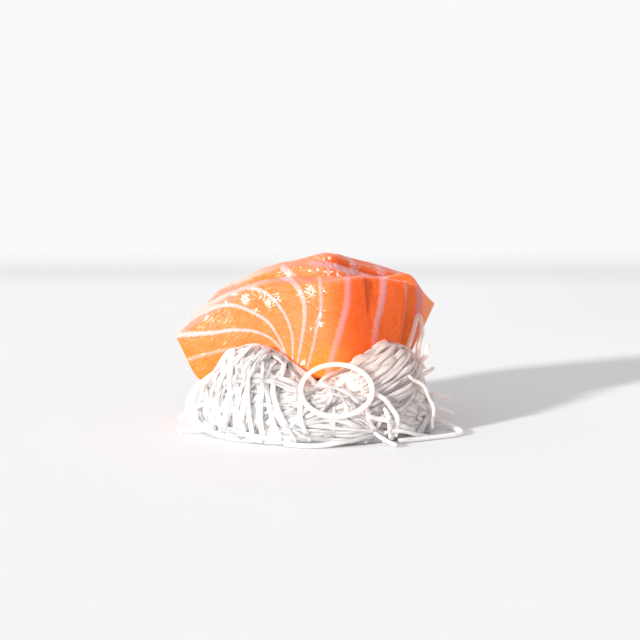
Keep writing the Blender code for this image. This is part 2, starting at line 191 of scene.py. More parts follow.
def bow(w):
    return BOW * np.sin(np.pi * np.clip((w - BOW_LOW_W) / (BOW_HIGH_W - BOW_LOW_W), 0, 1))


def place(s, w, n):
    """Point at s along the line, w up the lean and n behind the front face."""
    turn = np.interp(s, LINE_S, LINE_TURN)
    n = n - bow(w)
    back = w * math.sin(LEAN) + n * math.cos(LEAN)
    x = np.interp(s, LINE_S, LINE_X) - np.sin(turn) * back
    y = np.interp(s, LINE_S, LINE_Y) + np.cos(turn) * back
    z = w * math.cos(LEAN) - n * math.sin(LEAN)
    return np.stack(np.broadcast_arrays(x, y, z), -1)


def unplace(p):
    """The s, w and n of points."""
    s = np.interp(p[..., 0], LINE_X, LINE_S)
    for _ in range(8):
        turn = np.interp(s, LINE_S, LINE_TURN)
        back = (p[..., 1] - np.interp(s, LINE_S, LINE_Y)) / np.cos(turn)
        s = np.interp(p[..., 0] + np.sin(turn) * back, LINE_X, LINE_S)
    w = back * math.sin(LEAN) + p[..., 2] * math.cos(LEAN)
    n = back * math.cos(LEAN) - p[..., 2] * math.sin(LEAN)
    return s, w, n + bow(w)


def curve(points, t):
    """Smooth curve through the points, t from 0 to 1."""
    pts = np.array(points, float)
    gap = np.linalg.norm(np.diff(pts, axis=0), axis=1)
    at = np.concatenate([[0], np.cumsum(gap)]) / gap.sum()
    slope = np.gradient(pts, at, axis=0)
    i = np.clip(np.searchsorted(at, t, side="right") - 1, 0, len(pts) - 2)
    width = (at[i + 1] - at[i])[..., None]
    f = (t[..., None] - at[i][..., None]) / width
    start = pts[i] * (1 + 2 * f) * (1 - f) ** 2 + slope[i] * width * f * (1 - f) ** 2
    end = pts[i + 1] * f * f * (3 - 2 * f) + slope[i + 1] * width * f * f * (f - 1)
    return start + end


def ripple(rng, a, b, wave, octaves=3):
    """Smooth random field over two coordinates, about -1 to 1, with that wavelength."""
    total = np.zeros(np.broadcast(a, b).shape)
    strength = 1.0
    for _ in range(octaves):
        for _ in range(5):
            turn = rng.uniform(0, 2 * math.pi)
            phase = rng.uniform(0, 2 * math.pi)
            k = 2 * math.pi / wave * rng.uniform(0.7, 1.3)
            total = total + strength * np.sin(k * (a * math.cos(turn) + b * math.sin(turn)) + phase) / 3
        strength *= 0.5
        wave *= 0.5
    return total / 1.75


def fat_field(spec, s, w):
    """Depth inside the nearest line of fat, its softness, distance along, side and strength."""
    q = np.stack([s - spec["shift"], w], -1).reshape(-1, 2)
    best = np.full(len(q), -99.0)
    soft = np.full(len(q), 0.15)
    strength = np.ones(len(q))
    under = np.zeros(len(q))
    weight_sum = np.zeros(len(q))
    along_sum = np.zeros(len(q))
    t = np.linspace(0, 1, 70)
    lines = [line for k, line in enumerate(FAT_LINES) if k not in spec["bare"]]
    for wide, narrow, blur, full, points in lines + list(END_LINES[spec["name"]]):
        line = curve(points, t)
        gap = np.concatenate([[0], np.cumsum(np.linalg.norm(np.diff(line, axis=0), axis=1))])
        a = line[:-1]
        ab = line[1:] - a
        length2 = (ab ** 2).sum(1)
        dist2 = np.full(len(q), 1e9)
        where = np.zeros(len(q))
        turn = np.zeros(len(q))
        for k in range(len(ab)):
            d = q - a[k]
            f = np.clip(d @ ab[k] / length2[k], 0, 1)
            away2 = ((d - f[:, None] * ab[k]) ** 2).sum(1)
            nearer = away2 < dist2
            dist2 = np.where(nearer, away2, dist2)
            where = np.where(nearer, gap[k] + f * math.sqrt(length2[k]), where)
            turn = np.where(nearer, (ab[k, 0] * d[:, 1] - ab[k, 1] * d[:, 0]) / math.sqrt(length2[k]), turn)
        dist = np.sqrt(dist2)
        share = where / gap[-1]
        half = (wide + (narrow - wide) * share ** 0.8) / 2
        depth = half - dist
        nearer = depth > best
        best = np.where(nearer, depth, best)
        under = np.where(nearer, np.clip(0.5 - turn, 0, 1), under)
        soft = np.where(nearer, blur, soft)
        strength = np.where(nearer, full, strength)
        pull = 1 / (dist2 + 3.0) ** 1.5
        weight_sum += pull
        along_sum += pull * (gap[-1] - where)
    shape = s.shape
    fields = (best, soft, along_sum / weight_sum, under, strength)
    return [field.reshape(shape) for field in fields]


def film(spec, s, w):
    """Height of the wet film in millimetres, its drops turned half way to the light, and its cover, which
    also masks the painted glints.
    """
    height = np.zeros(s.shape)
    cover = np.zeros(s.shape)
    for a, b, size in WET_SPOTS[spec["row"]]:
        heading = float(eased(np.array([a]), BEND_S, BEND_DEG)[0])
        rise = 12 - 6.35 * math.cos(math.pi * (b - BOW_LOW_W) / (BOW_HIGH_W - BOW_LOW_W))
        across = math.tan(math.radians(min(MIRROR_TURN + heading, STEEPEST_DROP)))
        up = math.tan(math.radians(MIRROR_RISE - rise))
        mask = 1 / (1 + (np.hypot(s - a, w - b) / size / DROP_SPREAD) ** 4)
        height += mask * (across * (s - a) - up * (w - b))
        cover = np.maximum(cover, mask)
    return height, cover


def slab_points(spec, u, v, inset, depth):
    """The s, w and n of a slice: u along, v up, inset from its outline, depth behind its face."""
    u = inset / SLICE_LONG + u * (1 - 2 * inset / SLICE_LONG)
    share = depth / THICKNESS
    foot = curve(spec["foot"], u)
    top = curve(spec["top"], u) * (1 - share) + curve(spec["top_back"], u) * share
    up = top - foot
    tall = np.linalg.norm(up, axis=-1, keepdims=True)
    middle = foot + up * (inset + v[..., None] * (tall - 2 * inset)) / tall
    s = middle[..., 0]
    w = middle[..., 1]
    n = spec["row"] * SPACING + depth + np.zeros_like(s)
    if spec["row"] == 0:
        high = np.clip((w - SPLIT_LOW_W) / (SPLIT_TOP_W - SPLIT_LOW_W), 0, 1)
        past = np.clip((s - SPLIT_S + 0.8) / 0.8, 0, 1) * np.clip((SPLIT_S + 11 - s) / 11, 0, 1)
        n = n + SPLIT_STEP * high * past * (1 - share)
    return s, w, n


def slab(spec, across, tall, corner):
    """Points of one slice, each as s, w, n, depth, if on the top edge and how far below it; and faces."""
    us = np.linspace(0, 1, across + 1)
    vs = np.linspace(0, 1, tall + 1)
    rim = [(i, 0) for i in range(across + 1)]
    rim += [(across, j) for j in range(1, tall + 1)]
    rim += [(i, tall) for i in range(across - 1, -1, -1)]
    rim += [(0, j) for j in range(tall - 1, 0, -1)]
    grid_u, grid_v = np.meshgrid(us, vs, indexing="ij")
    rim_u = np.array([us[i] for i, j in rim])
    rim_v = np.array([vs[j] for i, j in rim])

    def layer(u, v, inset, depth):
        s, w, n = slab_points(spec, u, v, inset, depth)
        high = np.clip(1 - (1 - v) * 25, 0, 1) + np.zeros(s.shape)
        below = (1 - v) * 26 + np.zeros(s.shape)
        return np.stack([s, w, n, np.full(s.shape, depth), high, below], -1).reshape(-1, 6)

    steps = []
    for k in range(1, corner + 1):
        angle = math.pi / 2 * k / corner
        steps.append((EDGE_RADIUS * (1 - math.sin(angle)), EDGE_RADIUS * (1 - math.cos(angle))))
    flat = np.linspace(EDGE_RADIUS, THICKNESS - EDGE_RADIUS, 12)[1:-1]
    rounds = steps + [(0.0, d) for d in flat] + [(i, THICKNESS - d) for i, d in reversed(steps)]
    blocks = [layer(grid_u, grid_v, EDGE_RADIUS, 0.0)]
    for inset, depth in rounds:
        blocks.append(layer(rim_u, rim_v, inset, depth))
    blocks.append(layer(grid_u, grid_v, EDGE_RADIUS, THICKNESS))
    data = np.concatenate(blocks)

    wide = tall + 1
    face_count = (across + 1) * wide
    last = len(data) - face_count
    i, j = np.meshgrid(np.arange(across), np.arange(tall), indexing="ij")
    a = (i * wide + j).ravel()
    front = np.stack([a, a + wide, a + wide + 1, a + 1], -1)
    faces = [front, last + front[:, ::-1]]
    loops = [np.array([i * wide + j for i, j in rim])]
    for k in range(len(rounds)):
        loops.append(face_count + k * len(rim) + np.arange(len(rim)))
    loops.append(last + loops[0])
    for near, far in zip(loops, loops[1:]):
        faces.append(np.stack([np.roll(near, -1), near, far, np.roll(far, -1)], -1))
    return data, np.concatenate(faces)


def make_mesh(name, verts, faces, smooth=True):
    """Object from points in millimetres and faces of one size."""
    mesh = bpy.data.meshes.new(name)
    mesh.vertices.add(len(verts))
    mesh.vertices.foreach_set("co", ((np.asarray(verts) - CENTRE) * MM).astype(np.float32).ravel())
    size = faces.shape[1]
    mesh.loops.add(faces.size)
    mesh.loops.foreach_set("vertex_index", faces.astype(np.int32).ravel())
    mesh.polygons.add(len(faces))
    mesh.polygons.foreach_set("loop_start", np.arange(0, faces.size, size, dtype=np.int32))
    mesh.polygons.foreach_set("use_smooth", np.full(len(faces), smooth))
    mesh.update(calc_edges=True)
    mesh.validate()
    thing = bpy.data.objects.new(name, mesh)
    bpy.context.scene.collection.objects.link(thing)
    return thing


def attribute(thing, name, values):
    values = np.asarray(values, np.float32)
    if values.ndim == 1:
        layer = thing.data.attributes.new(name, "FLOAT", "POINT")
        layer.data.foreach_set("value", values)
    else:
        layer = thing.data.attributes.new(name, "FLOAT_VECTOR", "POINT")
        layer.data.foreach_set("vector", values.ravel())


def dress(thing, material, node):
    """Gives a finished piece its material, slot and body, and hides the imported part it replaces."""
    thing.data.materials.append(material)
    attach(thing, "root")
    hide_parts(node)


def make_slice(spec, material):
    rng = random.Random(SEED + spec["row"])
    across, tall = ((280, 110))
    data, faces = slab(spec, across, tall, 5)
    s, w, n, depth, high, below = data.T
    fat, soft, along, under, strength = fat_field(spec, s, w)
    inside = 1 / (1 + np.exp(-fat / np.maximum(soft, 0.1) * 2))
    middle = np.sin(np.pi * depth / THICKNESS)
    # Fat stands a little proud, the flesh between the lines bulges softly, and the rim is wavy.
    side = np.where(depth < THICKNESS / 2, -1.0, 1.0) * np.cos(np.pi * np.clip(depth / THICKNESS, 0, 1)) ** 2
    relief = 0.05 * inside + 0.10 * ripple(rng, s, w, 11.0) + 0.035 * ripple(rng, along, fat, 1.6, 2)
    n = n + side * relief
    lift = 0.22 * ripple(rng, s, n * 0.8, 9.0) + 0.12 * middle * ripple(rng, s, n * 1.5, 2.6)
    w = w + lift * np.clip((w - 24) / 12, 0, 1) * np.clip(middle * 3 + 0.4, 0, 1)
    thing = make_mesh(spec["name"] + "_cut", place(s, w, n), faces)
    attribute(thing, "fat", fat)
    attribute(thing, "soft", soft)
    attribute(thing, "grain", np.stack([along, fat, n], -1) * 0.1)
    attribute(thing, "cut", np.stack([s, w, n], -1) * 0.1)
    attribute(thing, "rim", np.clip(middle * 1.6, 0, 1) * high)
    attribute(thing, "under", under)
    attribute(thing, "below", below)
    attribute(thing, "strength", strength)
    drops, cover = film(spec, s, w)
    near = depth < 2.5
    attribute(thing, "film", drops * near)
    attribute(thing, "wet", cover * near)
    # Mask of the split's crease, used for its painted shade.
    slit = np.exp(-((s - SPLIT_S + 0.1) / 0.5) ** 2) * np.clip((w - SPLIT_LOW_W) / 3, 0, 1)
    attribute(thing, "slit", slit * (depth < 3) * (spec["row"] == 0))
    attribute(thing, "row", np.full(len(s), spec["row"]))
    dress(thing, material, spec["name"])


# Shredded radish.


def mound_point(direction, rise, scale=1.0):
    """Point on the mound's skin: direction in degrees, rise from 0 at the floor to 1 on top."""
    tall = MOUND_HEIGHT
    for middle, change, half in MOUND_WAVES:
        away = (direction - middle + 180) % 360 - 180
        tall += change * math.exp(-(away / half) ** 2)
    phi = rise * math.pi / 2
    out = math.cos(phi) ** MOUND_POWER if rise < 1 else 0.0
    middle, share, half = MOUND_DIP
    away = (direction - middle + 180) % 360 - 180
    out *= 1 - share * math.exp(-(away / half) ** 2)
    a = math.radians(direction)
    x = MOUND_X + MOUND_RADIUS_X * scale * out * math.cos(a)
    y = MOUND_Y + MOUND_RADIUS_Y * scale * out * math.sin(a)
    return np.array((x, y, tall * scale * math.sin(phi)))


def banked(pts, below):
    """Points lowered to the bank of shreds where they are at the face or behind it."""
    s, w, n = unplace(np.asarray(pts, float))
    limit = np.interp(s, BANK_S, BANK_W) - below + np.clip(-n - 1.0, 0, 30) * 0.25
    over = (n > -9) & (n < 12) & (s > BANK_S[0]) & (s < BANK_S[-1])
    w = np.where(over, np.minimum(w, limit), w)
    return place(s, w, n)


def slice_limits(spec, s, w, low, high):
    """Left and right end, foot and top of a slice. Its ends go on past its corners, from low to high."""
    foot = np.array(spec["foot"])
    top = np.array(spec["top"])
    ends = []
    for k in (0, -1):
        up = np.clip((w - foot[k, 1]) / (top[k, 1] - foot[k, 1]), low, high)
        ends.append(foot[k, 0] + (top[k, 0] - foot[k, 0]) * up)
    left, right = ends
    return left, right, np.interp(s, foot[:, 0], foot[:, 1]), np.interp(s, top[:, 0], top[:, 1])


def clear_of_slices(pts, clear):
    """Moves points out of the slices by the shortest way."""
    s, w, n = unplace(pts)
    for spec in SLICES:
        near = spec["row"] * SPACING
        left, right, foot_w, top_w = slice_limits(spec, s, w, -0.3, 1.2)
        gaps = np.stack([
            n + clear if spec["row"] == 0 else n - near + clear + 5,
            SLICES_DEEP + clear - n if spec["row"] == 2 else near + THICKNESS + clear - n + 5,
            s - left + clear,
            right + clear - s,
            w - foot_w + clear,
        ], -1)
        inside = (gaps.min(-1) > 0) & (n > near - clear) & (n < near + THICKNESS + clear) & (w < top_w + 1)
        best = gaps.argmin(-1)
        n = np.where(inside & (best == 0), n - gaps[..., 0], n)
        n = np.where(inside & (best == 1), n + gaps[..., 1], n)
        s = np.where(inside & (best == 2), s - gaps[..., 2], s)
        s = np.where(inside & (best == 3), s + gaps[..., 3], s)
        w = np.where(inside & (best == 4), w - gaps[..., 4], w)
    return place(s, w, n)


def in_slices(pts, clear):
    """Which points are in or near a slice."""
    s, w, n = unplace(pts)
    inside = np.zeros(len(pts), bool)
    for spec in SLICES:
        near = spec["row"] * SPACING
        left, right, foot_w, top_w = slice_limits(spec, s, w, 0, 1)
        inside |= ((n > near - clear) & (n < near + THICKNESS + clear) & (s > left - clear)
                   & (s < right + clear) & (w > foot_w - clear) & (w < top_w + 4))
    return inside


def trimmed(pts, ups, clear):
    """Longest run of the shred that is clear of the slices."""
    inside = in_slices(pts, clear)
    best, start = (0, 0), 0
    for k in range(len(pts) + 1):
        if k == len(pts) or inside[k]:
            if k - start > best[1] - best[0]:
                best = (start, k)
            start = k + 1
    a, b = best
    return pts[a:b], ups[a:b]


def relaxed(pts, clear, rounds=3):
    """Shred points above the floor, with kinks smoothed."""
    pts = np.array(pts, float)
    for _ in range(rounds):
        pts[:, 2] = np.maximum(pts[:, 2], clear)
        pts[1:-1] = 0.5 * pts[1:-1] + 0.25 * (pts[:-2] + pts[2:])
    pts[:, 2] = np.maximum(pts[:, 2], clear)
    return pts


# Rounded square: three points at each corner.
SECTION = [(x * c - y * d, x * d + y * c) for c, d in ((1, 0), (0, 1), (-1, 0), (0, -1))
           for x, y in ((1.0, 0.8), (0.95, 0.95), (0.8, 1.0))]


def sweep(pts, width, thick, turn, twist, ups=None, closed=False):
    """Verts and quads of a flat shred along the points, its flat side across the given normals."""
    pts = np.asarray(pts, float)
    count = len(pts)
    if closed:
        along = np.roll(pts, -1, 0) - np.roll(pts, 1, 0)
    else:
        along = np.gradient(pts, axis=0)
    along /= np.linalg.norm(along, axis=1, keepdims=True) + 1e-9
    if ups is None:
        ups = np.tile((0.0, -0.3, 1.0), (count, 1))
    side = np.cross(along[0], ups[0])
    verts = []
    for k in range(count):
        wanted = np.cross(along[k], ups[k])
        side = side * 0.7 + wanted * 0.3 * np.sign(np.dot(side, wanted) + 1e-9)
        side = side - along[k] * np.dot(side, along[k])
        side = side / (np.linalg.norm(side) + 1e-9)
        up = np.cross(side, along[k])
        c, d = math.cos(turn + twist * k), math.sin(turn + twist * k)
        a, b = side * c + up * d, up * c - side * d
        size = 0.75 if not closed and k in (0, count - 1) else 1.0
        for x, y in SECTION:
            verts.append(pts[k] + (a * x * width + b * y * thick) * size / 2)
    ring = len(SECTION)
    faces = []
    for k in range(count if closed else count - 1):
        here, there = ring * k, ring * ((k + 1) % count)
        for m in range(ring):
            q = (m + 1) % ring
            faces.append((here + m, there + m, there + q, here + q))
    if not closed:
        end = ring * (count - 1)
        for k in range(ring // 2 - 1):
            far = ring - 1 - k
            faces.append((k, k + 1, far - 1, far))
            faces.append((end + far, end + far - 1, end + k + 1, end + k))
    return verts, faces


# Direction of the shreds against the level, by direction round the mound.
FLOW_AT = (0, 45, 90, 135, 180, 215, 240, 256, 270, 285, 300, 345, 360)
FLOW_DEG = (50, 110, 60, 125, 100, 92, 104, 60, 20, 40, 12, 10, 50)


def skin(direction, rise):
    """Point on the mound, steps to the east and up along it, and the way out."""
    here = mound_point(direction, rise)
    east = mound_point(direction + 1, rise) - here
    north = mound_point(direction, rise + 0.01) - here
    out = np.cross(east, north)
    return here, east, north, out / np.linalg.norm(out)


def draped(rng, direction, rise, deep, length, count):
    """Points and normals of one long shred that winds through the mound near its skin."""
    heading = np.interp(direction % 360, FLOW_AT, FLOW_DEG) + rng.uniform(-1, 1) * 38
    if rng.random() < 0.3 and 60 < direction % 360 < 285:
        heading = rng.uniform(0, 180)
    curl = rng.uniform(-2.2, 2.2)
    wobble = rng.uniform(0, 6.28)
    pts = []
    ups = []
    step = length / (count - 1)
    direction -= math.cos(math.radians(heading)) * length * 0.8
    rise -= math.sin(math.radians(heading)) * length * 0.009
    for k in range(count):
        rise = min(max(rise, 0.02), 0.88)
        here, east, north, out = skin(direction, rise)
        covered = np.interp(direction % 360, (280, 292, 348, 358),
                            (0, 1, 1, 0)) * np.interp(rise, (0.2, 0.35), (0, 1))
        lift = 0.6 * math.sin(k * step * 0.22 + wobble) - deep - 1.4 * covered
        pts.append(here + out * lift)
        ups.append(out)
        direction += math.cos(math.radians(heading)) * step / max(np.linalg.norm(east), 0.15)
        rise += math.sin(math.radians(heading)) * step / np.linalg.norm(north) * 0.01
        heading += (curl + 1.6 * math.sin(k * 0.23 + wobble * 2)) * step
    return np.array(pts), np.array(ups)


# Guides for shreds that lie in step, as (direction, rise) points on the mound.
LEFT_GUIDE = ((229, 0.70), (240, 0.60), (241, 0.41), (244, 0.17))
RIGHT_GUIDES = (
    ((297, 0.72), (301, 0.80), (317, 0.80), (329, 0.78), (339, 0.74)),
    ((292, 0.66), (298, 0.71), (314, 0.71), (332, 0.68), (343, 0.66)),
    ((294, 0.50), (301, 0.52), (315, 0.55), (331, 0.57), (347, 0.58)),
    ((294, 0.38), (300, 0.40), (313, 0.43), (326, 0.45), (343, 0.49)),
    ((296, 0.24), (302, 0.29), (313, 0.32), (325, 0.33), (343, 0.36)),
)
# Bundles: two guides, how many shreds between them, and how far they stray.
BUNDLES = (
    (((217, 0.61), (212, 0.42), (215, 0.26), (216, 0.13), (223, 0.06), (235, 0.02)),
     ((224, 0.69), (224, 0.46), (222, 0.29), (222, 0.15), (226, 0.08), (238, 0.03)), 4, 1.0),
    (((224, 0.69), (224, 0.46), (222, 0.29), (222, 0.15)), LEFT_GUIDE, 5, 1.4),
    (LEFT_GUIDE,
     ((233, 0.73), (246, 0.68), (252, 0.60), (252, 0.29), (249, 0.10)), 5, 1.4),
    (((196, 0.52), (179, 0.40), (180, 0.25), (189, 0.13), (208, 0.07)),
     ((210, 0.58), (202, 0.42), (205, 0.26), (208, 0.13), (216, 0.06)), 6, 1.4),
    (((217, 0.37), (230, 0.48), (241, 0.57), (256, 0.65)),
     ((214, 0.30), (230, 0.41), (243, 0.50), (258, 0.55)), 5, 1.2),
    (((260, 0.58), (272, 0.69), (284, 0.53), (288, 0.37)),
     ((256, 0.40), (268, 0.55), (281, 0.45), (290, 0.30)), 4, 1.5),
    (((267, 0.52), (281, 0.53), (293, 0.41)), ((262, 0.44), (279, 0.40), (296, 0.34)), 4, 1.5),
    (((271, 0.38), (280, 0.49), (285, 0.60)), ((263, 0.30), (272, 0.40), (277, 0.55)), 3, 1.2),
    (((283, 0.61), (286, 0.44), (287, 0.33)), ((274, 0.64), (279, 0.48), (283, 0.33)), 3, 1.2),
    (((266, 0.26), (276, 0.32), (287, 0.23), (294, 0.13)),
     ((252, 0.16), (268, 0.22), (284, 0.16), (298, 0.08)), 5, 1.2),
    (((262, 0.21), (271, 0.17), (281, 0.12), (290, 0.12)),
     ((246, 0.08), (262, 0.07), (280, 0.05), (298, 0.05)), 5, 1.0),
)
BUNDLES += tuple(zip(RIGHT_GUIDES, RIGHT_GUIDES[1:], (7, 8, 7, 6), (0.9, 1.0, 1.0, 1.3)))

# Single shreds on top of the mound, as (direction, rise) points.
SINGLES = (
    ((216, 0.30), (216, 0.20), (218, 0.10), (224, 0.05), (232, 0.03), (245, 0.03)),
    ((257, 0.62), (259, 0.50), (262, 0.21), (266, 0.07)),
    ((290, 0.42), (292, 0.32), (294, 0.14), (300, 0.03)),
    ((297, 0.45), (300, 0.39), (304, 0.30), (306, 0.17), (304, 0.05)),
    ((292, 0.24), (297, 0.21), (311, 0.10), (316, 0.06)),
    ((322, 0.44), (327, 0.37), (331, 0.25), (331, 0.15), (329, 0.04)),
    ((200, 0.30), (207, 0.16), (220, 0.08), (240, 0.06), (258, 0.04)),
    ((248, 0.30), (256, 0.16), (270, 0.08), (286, 0.05)),
)


# Shreds hung over the left bank.
HUNG_COUNT = 13

# Shreds that lie along the edge of the bank at the face: from and to along it, and how far below.
BRIMS = (
    (9.5, 27, 0.4), (12, 33, 0.9), (16, 30, 0.1), (19, 38, 0.2), (25, 43, 0.9), (31, 45, 0.4),
    (43, 60, 0.3), (46, 68, 0.8), (51, 76, 0.2), (55, 72, 1.2), (60, 79, 0.5), (63, 78, 1.4),
)


def bundled(rng, first, second, share, stray, count, steep=1.0):
    """Points and normals of one shred between two guides."""
    t = np.linspace(0, 1, count)
    scale = np.array((1.0, steep))
    line = (curve(first * scale, t) * (1 - share) + curve(second * scale, t) * share) / scale
    phase = rng.uniform(0, 6.28)
    wave = np.sin(t * rng.uniform(3, 6) + phase)
    lift = rng.uniform(-0.4, 0.9)
    pts = []
    ups = []
    for k in range(count):
        here, east, north, out = skin(line[k, 0] + stray * 1.1 * wave[k], line[k,
                                                                               1] + stray * 0.012 * wave[k])
        pts.append(here + out * (lift + 0.35 * math.sin(k * 0.5 + phase)))
        ups.append(out)
    return np.array(pts), np.array(ups)


def hung(rng, share, count):
    """Points and normals of a shred that hangs from the left bank at the face to the mound's foot."""
    s = 11.0 + 23.5 * share
    top = place(s, np.interp(s, BANK_S, BANK_W) - rng.uniform(0.0, 2.5), -rng.uniform(0.8, 2.2))
    direction = 203 + 44 * share + rng.uniform(-3, 3)
    lean = rng.uniform(-26, 26)
    points = [top]
    for rise in (0.46, 0.30, 0.16, 0.06):
        here, east, north, out = skin(direction + lean * (0.46 - rise) * 2, rise + rng.uniform(-0.02, 0.02))
        points.append(here + out * rng.uniform(0.2, 1.6))
    pts = curve(points[:rng.choice((4, 5, 5))], np.linspace(0, 1, count))
    ups = np.stack([skin(direction, 0.5 * (1 - k / count))[3] for k in range(count)])
    return pts, ups


def brim(rng, first, last, below, count):
    """Points and normals of a shred along the edge of the bank, its ends tucked in."""
    t = np.linspace(0, 1, count)
    s = first + (last - first) * t
    tuck = np.abs(2 * t - 1) ** 5
    w = np.interp(s, BANK_S, BANK_W) - below - 3.5 * tuck + 0.3 * np.sin(t * 9 + rng.uniform(0, 6))
    n = -0.95 - 0.5 * rng.random() - 0.3 * np.sin(t * 5 + rng.uniform(0, 6)) - 1.2 * tuck
    ups = np.tile((0.0, -1.0, 0.3), (count, 1))
    return place(s, w, n), ups


def painted_salmon_glow(pts):
    """Share of painted light from the salmon on the radish, its reflected orange glow: 1 at the face, fading
    within millimetres.
    """
    s, w, n = unplace(pts)
    away = np.hypot(np.maximum(-n - 0.8, 0), np.maximum(17 - w, 0))
    reach = np.interp(s, (0, 30, 42, 60), (5.0, 6.0, 11.0, 15.0))
    return np.exp(-away / reach) * np.interp(s, (0, 10, 40, 55, 80), (0.3, 0.5, 0.8, 1.0, 1.0))


class Shreds:
    """Collects shreds for one mesh."""

    def __init__(self):
        self.verts = []
        self.faces = []
        self.tone = []
        self.run = []

    def add(self, rng, pts, width, thick, ups=None, closed=False, turn=None):
        turn = rng.uniform(-0.7, 0.7) if turn is None else turn
        twist = 0.0 if closed else rng.uniform(-0.03, 0.03)
        verts, faces = sweep(pts, width, thick, turn, twist, ups, closed)
        base = len(self.verts)
        tone = rng.random()
        self.verts += verts
        self.faces += [tuple(base + k for k in f) for f in faces]
        self.tone += [tone] * len(verts)
        for k in range(len(pts)):
            self.run += [(k * 0.12, a + 9.0 * tone, b + 7.0 * tone) for a, b in SECTION]

    def build(self, name, material):
        thing = make_mesh(name, np.array(self.verts), np.array(self.faces))
        attribute(thing, "tone", np.array(self.tone))
        attribute(thing, "painted_salmon_glow", painted_salmon_glow(np.array(self.verts)))
        attribute(thing, "place", np.array(self.verts) * 0.1)
        attribute(thing, "run", np.array(self.run))
        dress(thing, material, "radish_mound")


RING_CENTRE = np.array((4.6, -28.0, 14.7))
RING_WIDE = 10.0
RING_TALL = 8.3
RING_TILT = math.radians(40)

# Single shreds that stand out from the mound, each as a few points for a smooth curve.
LOOSE = (
    ((-40.5, -16, 0.8), (-34, -17.5, 0.9), (-27, -19, 2.4), (-20, -24, 4)),
    ((-10, -34.5, 0.9), (-2, -36.8, 0.8), (6, -35, 1.4), (16, -31, 3)),
    ((22, -30.5, 0.9), (31, -26, 0.8), (40, -19.5, 0.8), (37, -12, 1.4), (31, -8, 3)),
    ((19.8, -31, 1.2), (19.6, -30.2, 4.5), (18.7, -28.4, 8.4), (15.4, -25, 12)),
    ((12.5, -30, 6), (17.5, -33.4, 2), (21, -36.4, 0.9)),
    ((27.5, -9, 2), (31.5, -12, 7), (29.5, -10, 13), (27, -8, 17)),
    ((23, -7, 17.5), (26.2, -2.5, 24), (29.2, 4, 30.6), (29.9, 2, 27), (28.7, -1.5, 22.5),
     (28.6, -6.5, 13.5)),
    ((27.5, -5, 13), (28.8, -5, 18.4), (30.8, -4.6, 20.6), (31.4, -4, 24)),
    ((26, -6, 9), (33.5, -7, 9.3), (37.5, -7, 8)),
    ((25.5, -8, 12.5), (30, -6.5, 15.2), (33, -5.5, 16.9)),
)


# Thin ends that only show outside the heap.
WISPS = (
    ((-30, -13, 17), (-35, -15.5, 13), (-36.8, -17, 7.5), (-34, -18.5, 2.5), (-29, -20.5, 0.9)),
    ((-40.5, -12, 3), (-36.5, -13.5, 6.5), (-31, -16, 9)),
    ((-30, -11, 15), (-36, -11.5, 12), (-38, -13, 7), (-36.5, -14.5, 1.5)),
    ((-33, -20, 2), (-26, -26.5, 0.9), (-17, -31, 0.8), (-9, -33, 0.9)),
    ((28, -9, 5), (35.5, -9, 5.2), (39, -8, 3.6)),
    ((14, -30.5, 2), (22, -30, 3.6), (27, -27.5, 2), (30, -24, 0.9)),
)


# Steps that spread the shreds evenly over directions and heights.
EVEN_TURN = 0.618034
EVEN_RISE = 0.754878


